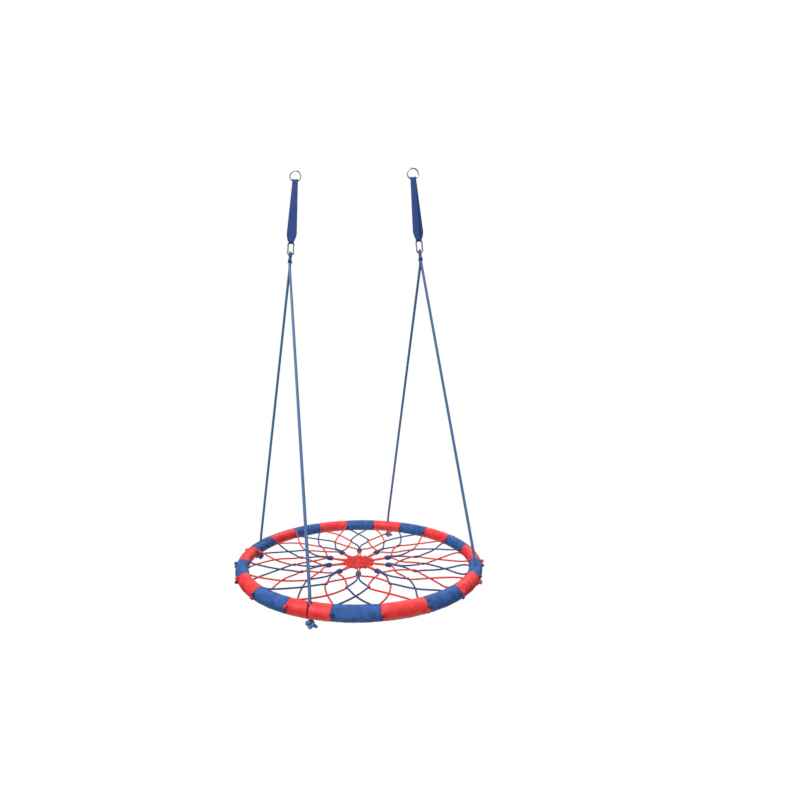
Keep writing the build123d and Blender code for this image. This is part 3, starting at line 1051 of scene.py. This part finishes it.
def pad_surface(index, anchored):
    """Rings of points over one padded stretch of the hoop, and what each face is."""
    centre = radians(FIRST_PAD + index * PAD_ANGLE)
    sides = ANCHORED_PAD_SIDES if anchored else PAD_SIDES
    around = np.arange(sides) * 2 * pi / sides
    along, radius, depth = np.array(pad_stations(anchored)).T
    x = np.broadcast_to(along[:, None], (len(along), sides)).copy()
    r = np.broadcast_to(radius[:, None], x.shape).copy()
    from_seam = radians(PAD_ANGLE) * HOOP_RADIUS / 2 - np.abs(x)
    shape_cloth(x, r, from_seam, around)
    in_groove = cut_groove(x, r, depth, around) if anchored else np.zeros(x.shape, bool)

    # The cloth, and the sleeve against the tube that closes it from inside
    cloth = on_hoop(centre + x / HOOP_RADIUS, r, around)
    back = np.linspace(along[-1], along[0], SLEEVE_RINGS)[:, None] / HOOP_RADIUS
    inside = np.full((SLEEVE_RINGS, sides), SLEEVE_RADIUS)
    sleeve = on_hoop(centre + back, inside, around)
    rings = np.concatenate([cloth, sleeve])
    flags = np.concatenate([in_groove, np.ones((SLEEVE_RINGS, sides), bool)])
    steps = np.append(along, along[-1] + SLEEVE_STEP * np.arange(1, SLEEVE_RINGS + 1))
    return rings, around, steps, flags


def add_pads(blue, red, foam):
    """Twenty covers round the hoop, blue and red in turn."""
    anchors = [SEAT_TURN - 45 + 90 * quarter for quarter in range(4)]
    for index in range(PAD_COUNT):
        centre = FIRST_PAD + index * PAD_ANGLE
        turns = [(centre - anchor + 180) % 360 - 180 for anchor in anchors]
        anchored = any(abs(turn) < PAD_ANGLE / 2 for turn in turns)
        rings, around, steps, flags = pad_surface(index, anchored)
        shell = Shell()
        # The surface runs along the hoop and round the tube, so its rings are turned outward
        flipped = rings[:, ::-1]
        # Faces in a rope's slit, and the sleeve, take the second material: near-black foam,
        # painted shade down the slit.
        slots = flags[:, ::-1].astype(int)
        face_slots = np.minimum(slots, np.roll(slots, -1, axis=0)).ravel()
        shell.add_rings(flipped, around, steps, closed=True, slots=face_slots)
        colour = "red" if index % 2 else "blue"
        pad = shell.make(f"pad_{index + 1:02d}_{colour}", red if index % 2 else blue, foam)
        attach(pad, "seat")
        nodes = [f"pad_cover_{index + 1:02d}_{colour}"]
        if index == 0:
            nodes.append("pad_foam")
        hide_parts(*nodes)


# The webbing loops
STRAP_TOP_HALF = 0.0122
STRAP_GROWTH = 0.0028
STRAP_END_HALF = 0.0088
STRAP_SPREAD = 0.0085


STRAP_NARROWS = 0.13
STRAP_JOINS = 0.11
STRAP_LEAST_SPREAD = 0.001
STRAP_BEND_POINTS = 25
STRAP_LEG_POINTS = 200
STRAP_COLUMNS = 18
STRAP_EDGE_ROUNDING = 0.75
RIB_HEIGHT = 0.00042
RIB_COUNT = 6.5
CHEVRON_PITCH = 0.0046
CHEVRON_SLANT = 6
RING_SHAPE_REACH = 0.05
BOW_SHAPE_REACH = 0.03
BOW_SHAPE_HALF = 0.0112


def strap_loop():
    """Places (square, up) down one leg of the loop and up the other, with its top and bottom."""
    lift = RING_WIRE_RADIUS + STRAP_CLEARANCE + STRAP_THICKNESS / 2
    top, bottom = -RING_RADIUS, TOP_BOW + HOOK_BOW_RADIUS
    bend = np.linspace(0, pi, STRAP_BEND_POINTS)
    shares = [k / STRAP_LEG_POINTS for k in range(1, STRAP_LEG_POINTS)]
    over = [(lift * cos(t), top + lift * sin(t)) for t in bend]
    down = [(-lift, top + (bottom - top) * share) for share in shares]
    under = [(-lift * cos(t), bottom - lift * sin(t)) for t in bend]
    back = [(lift, bottom + (top - bottom) * share) for share in shares]
    return np.array(over + down + under + back), top, bottom


def strap_outline(side, square, share):
    """Half the band's width and its sideways shift, by the share of the way up a leg."""
    narrow = 1 - np.clip(share / STRAP_NARROWS, 0, 1) ** 0.8
    full = STRAP_TOP_HALF + STRAP_GROWTH * (1 - share)
    half = full + (STRAP_END_HALF - full) * narrow
    # Low down the two legs lie beside each other, the back one further out
    apart = STRAP_SPREAD * (1 - share) * np.clip(share / STRAP_JOINS, 0, 1) ** 0.7
    leg = np.where(square * side > 0, -1, 1) * np.clip(np.abs(square) / 0.006, 0, 1)
    return half, leg * (apart + STRAP_LEAST_SPREAD)


def strap_section(along):
    """Places across a flat band with round edges, which way each faces, and its relief."""
    one_way = np.linspace(1, -1, STRAP_COLUMNS)
    across = np.concatenate([one_way, one_way[::-1]])
    face = np.repeat([1.0, -1.0], STRAP_COLUMNS)
    thick = STRAP_THICKNESS / 2 * (1 - np.abs(across) ** 6 * STRAP_EDGE_ROUNDING)
    ribs = 0.5 + 0.5 * np.cos(across * RIB_COUNT * pi)
    slant = along[:, None] * 2 * pi / CHEVRON_PITCH + np.abs(across) * CHEVRON_SLANT
    chevron = 0.5 + 0.5 * np.sin(slant)
    relief = RIB_HEIGHT * (ribs[None, :] * 0.5 + chevron * 0.5)
    depth = (thick[None, :] - 0.0004 + relief) * face[None, :]
    return across, depth, relief


def add_strap(side, hand, material):
    """A band of coarse webbing through the ring and the snap hook."""
    path, top, bottom = strap_loop()
    square, up = path.T
    half, shift = strap_outline(side, square, np.clip((up - bottom) / (top - bottom), 0, 1))
    ahead = np.roll(path, -1, axis=0) - np.roll(path, 1, axis=0)
    ahead /= np.linalg.norm(ahead, axis=1)[:, None]
    normal = np.stack([ahead[:, 1], -ahead[:, 0]], axis=1)
    along = distances(path)
    across, depth, relief = strap_section(along)

    # Near its ends the band takes on the curve of the ring and of the hook's bow
    x = across[None, :] * half[:, None] + shift[:, None]
    low = np.abs(x).clip(0, BOW_SHAPE_HALF)
    ring_arc = RING_RADIUS - np.sqrt(np.clip(RING_RADIUS**2 - x**2, 0, None))
    bow_arc = HOOK_BOW_RADIUS - np.sqrt(HOOK_BOW_RADIUS**2 - low**2)
    near_ring = np.clip(1 - (top - up) / RING_SHAPE_REACH, 0, 1)[:, None]
    near_bow = np.clip(1 - (up - bottom) / BOW_SHAPE_REACH, 0, 1)[:, None]
    u = up[:, None] + normal[:, 1:] * depth + ring_arc * near_ring - bow_arc * near_bow
    q = square[:, None] + normal[:, :1] * depth
    outward, upward, sideways = (np.array(axis) for axis in hanger_axes(side))
    middle = np.array(hanger_point(side, 0, 0, 0))
    rings = middle + x[..., None] * outward + u[..., None] * upward + q[..., None] * sideways
    shell = Shell()
    around = np.arange(len(across)) * 2 * pi / len(across)
    # Painted shade: the tone is darkest in the low parts between the ribs and chevrons.
    tones = (1 - relief / RIB_HEIGHT).ravel()
    shell.add_rings(rings, around, along, closed=True, tones=tones)
    strap = shell.make(f"webbing_loop_{hand}", material)
    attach(strap, "straps")
    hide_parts(f"strap_{hand}")


# The studio
FLOOR_LEVEL = -3.0
FLOOR_RADIUS = 3.0
SKY_STRENGTH = 0.5
SKY_RISE = {"From Min": -0.5, "From Max": 0.45, "To Min": 0.04, "To Max": 1.0}
LAMP_SOFTNESS = 28
LAMPS = (("key_light", 2.5, (0.35, 0.65, -1.0)), ("back_light", 1.0, (-0.3, -0.8, -0.7)))


def add_floor():
    """A pale round floor far below the seat."""
    edge = [polar(FLOOR_RADIUS, angle, FLOOR_LEVEL) for angle in range(0, 360, 5)]
    mesh = bpy.data.meshes.new("studio_floor")
    mesh.from_pydata(edge, [], [tuple(range(len(edge)))])
    mesh.materials.append(floor_look())
    floor = bpy.data.objects.new("studio_floor", mesh)
    scene.collection.objects.link(floor)


def add_world():
    """A soft sky, brighter above, that the camera sees as white paper."""
    world = bpy.data.worlds.new("studio")
    world.use_nodes = True
    tree = world.node_tree
    sky = tree.nodes["Background"]
    sky.inputs["Strength"].default_value = SKY_STRENGTH
    parts = tree.nodes.new("ShaderNodeSeparateXYZ")
    tree.links.new(tree.nodes.new("ShaderNodeTexCoord").outputs["Generated"], parts.inputs[0])
    rise = tree.nodes.new("ShaderNodeMapRange")
    for socket, value in SKY_RISE.items():
        rise.inputs[socket].default_value = value
    tree.links.new(parts.outputs["Z"], rise.inputs["Value"])
    tree.links.new(rise.outputs["Result"], sky.inputs["Color"])
    paper = tree.nodes.new("ShaderNodeBackground")
    paper.inputs["Color"].default_value = (1, 1, 1, 1)
    mixed = tree.nodes.new("ShaderNodeMixShader")
    tree.links.new(tree.nodes.new("ShaderNodeLightPath").outputs["Is Camera Ray"], mixed.inputs[0])
    tree.links.new(sky.outputs[0], mixed.inputs[1])
    tree.links.new(paper.outputs[0], mixed.inputs[2])
    tree.links.new(mixed.outputs[0], tree.nodes["World Output"].inputs["Surface"])
    scene.world = world


def add_lamps():
    """Two broad lights, from the front and from behind."""
    for name, strength, heading in LAMPS:
        data = bpy.data.lights.new(name, "SUN")
        data.energy = strength
        data.angle = radians(LAMP_SOFTNESS)
        light = bpy.data.objects.new(name, data)
        light.rotation_mode = "QUATERNION"
        light.rotation_quaternion = Vector(heading).to_track_quat("-Z", "Y")
        scene.collection.objects.link(light)


add_camera()
hang_look = rope_look(
    "hanging_rope", (0.010, 0.036, 0.150), (0.130, 0.310, 0.640), (0.330, 0.560, 0.860)
)
blue_rope = rope_look(
    "net_rope_blue", (0.004, 0.012, 0.060), (0.012, 0.048, 0.200), (0.060, 0.170, 0.430)
)
red_rope = rope_look(
    "net_rope_red", (0.300, 0.008, 0.008), (0.780, 0.030, 0.022), (0.930, 0.120, 0.090)
)
binding_look = rope_look(
    "binding_cord", (0.006, 0.030, 0.140), (0.020, 0.090, 0.340), (0.090, 0.240, 0.560)
)
for side, hand in ((-1, "left"), (1, "right")):
    add_hanging_rope(side, hand, hang_look)
    add_binding(side, hand, binding_look)
add_net(blue_rope, red_rope)
foam = foam_painted_shade_look()
add_pads(cover_blue_look(), cover_red_look(), foam)
webbing = webbing_look()
for side, hand in ((-1, "left"), (1, "right")):
    add_strap(side, hand, webbing)

steel, tube_steel = steel_look(), hoop_steel_look()
for name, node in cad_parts.items():
    if name.startswith(("ring_", "hook_", "hoop_")):
        node.data.materials.clear()
        node.data.materials.append(tube_steel if name == "hoop_tube" else steel)

add_floor()
add_world()
add_lamps()
